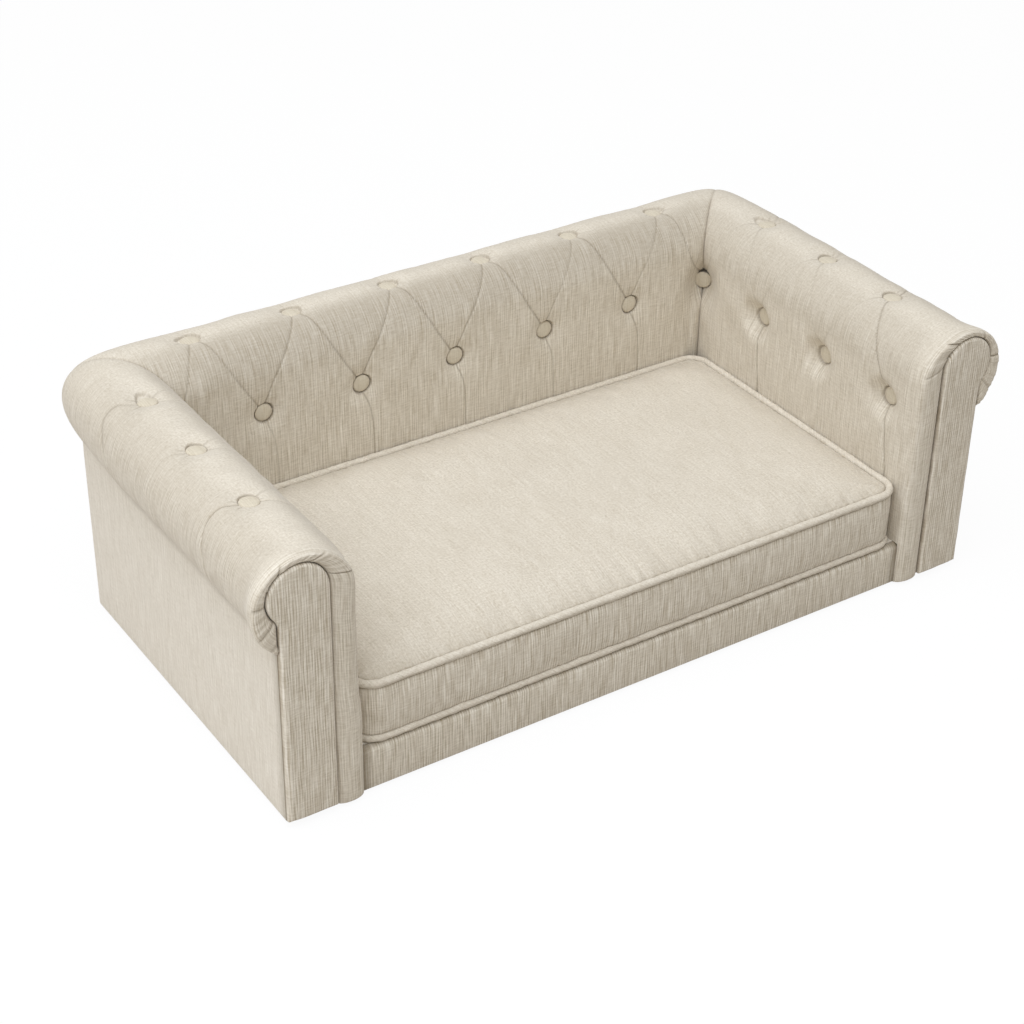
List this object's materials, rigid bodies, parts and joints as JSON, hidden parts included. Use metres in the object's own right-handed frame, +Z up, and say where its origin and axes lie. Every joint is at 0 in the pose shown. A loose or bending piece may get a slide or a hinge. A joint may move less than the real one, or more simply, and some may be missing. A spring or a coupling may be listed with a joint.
{
  "type": "dog sofa bed",
  "caption": "Low rolled-arm sofa bed for a dog with diamond-tufted arms and back, covered buttons, facing panels and a lift-out piped seat cushion",
  "frame": {"origin": "middle of the sofa's footprint, on the floor", "axes": "X runs along the back to the right as seen from the front, Y runs from the front to the back, Z is up"},
  "size_m": [0.9416, 0.5076, 0.323],
  "materials": {
    "pine": "matte",
    "plywood": "matte",
    "foam": "matte",
    "black_cloth": "matte",
    "nylon": "matte",
    "steel": "satin",
    "linen_buttons": "matte",
    "linen_piping": "matte",
    "linen_tufted": "matte",
    "linen_front": "matte",
    "linen_panels": "matte",
    "linen_cushion": "matte",
    "zip_cloth": "matte"
  },
  "bodies": {
    "sofa": {"front_rail": "pine", "back_rail": "pine", "left_side_rail": "pine", "right_side_rail": "pine", "middle_rail": "pine", "corner_blocks": "pine", "seat_deck": "plywood", "deck_lining": "black_cloth", "dust_cover": "black_cloth", "glides": "nylon", "apron": "linen_front", "left_arm_board": "plywood", "right_arm_board": "plywood", "left_front_post": "pine", "right_front_post": "pine", "left_back_post": "pine", "right_back_post": "pine", "left_roll_rail": "pine", "right_roll_rail": "pine", "left_roll_core": "foam", "right_roll_core": "foam", "back_board": "plywood", "back_stiles": "pine", "back_roll_rail": "pine", "back_roll_core": "foam", "left_arm_bolts": "steel", "right_arm_bolts": "steel", "left_arm_padding": "linen_tufted", "right_arm_padding": "linen_tufted", "back_padding": "linen_tufted", "left_front_strip": "linen_front", "right_front_strip": "linen_front", "left_side_panel": "linen_panels", "right_side_panel": "linen_panels", "back_panel": "linen_panels", "left_facing": "linen_front", "right_facing": "linen_front", "back_low_buttons": "linen_buttons", "back_top_buttons": "linen_buttons", "left_low_buttons": "linen_buttons", "left_top_buttons": "linen_buttons", "right_low_buttons": "linen_buttons", "right_top_buttons": "linen_buttons", "corner_buttons": "linen_buttons"},
    "cushion": {"cushion_core": "foam", "cushion_top": "linen_cushion", "cushion_border": "linen_cushion", "cushion_base": "linen_cushion", "top_piping": "linen_piping", "low_piping": "linen_piping", "zip_tape": "zip_cloth"},
    "zip_slider": {"zip_slider": "steel"},
    "zip_tab": {"zip_tab": "steel"}
  },
  "joints": [
    {"name": "cushion_lift", "type": "slide", "parent": "sofa", "child": "cushion", "axis": [0, 0, 1], "range_m": [0, 0.28]},
    {"name": "zip_slide", "type": "slide", "parent": "cushion", "child": "zip_slider", "axis": [-1, 0, 0], "range_m": [0, 0.531]},
    {"name": "zip_tab_hinge", "type": "hinge", "parent": "zip_slider", "child": "zip_tab", "pos_m": [0.266, 0.14091, 0.09605], "axis": [0, 0, -1], "range_deg": [0, 175]}
  ]
}
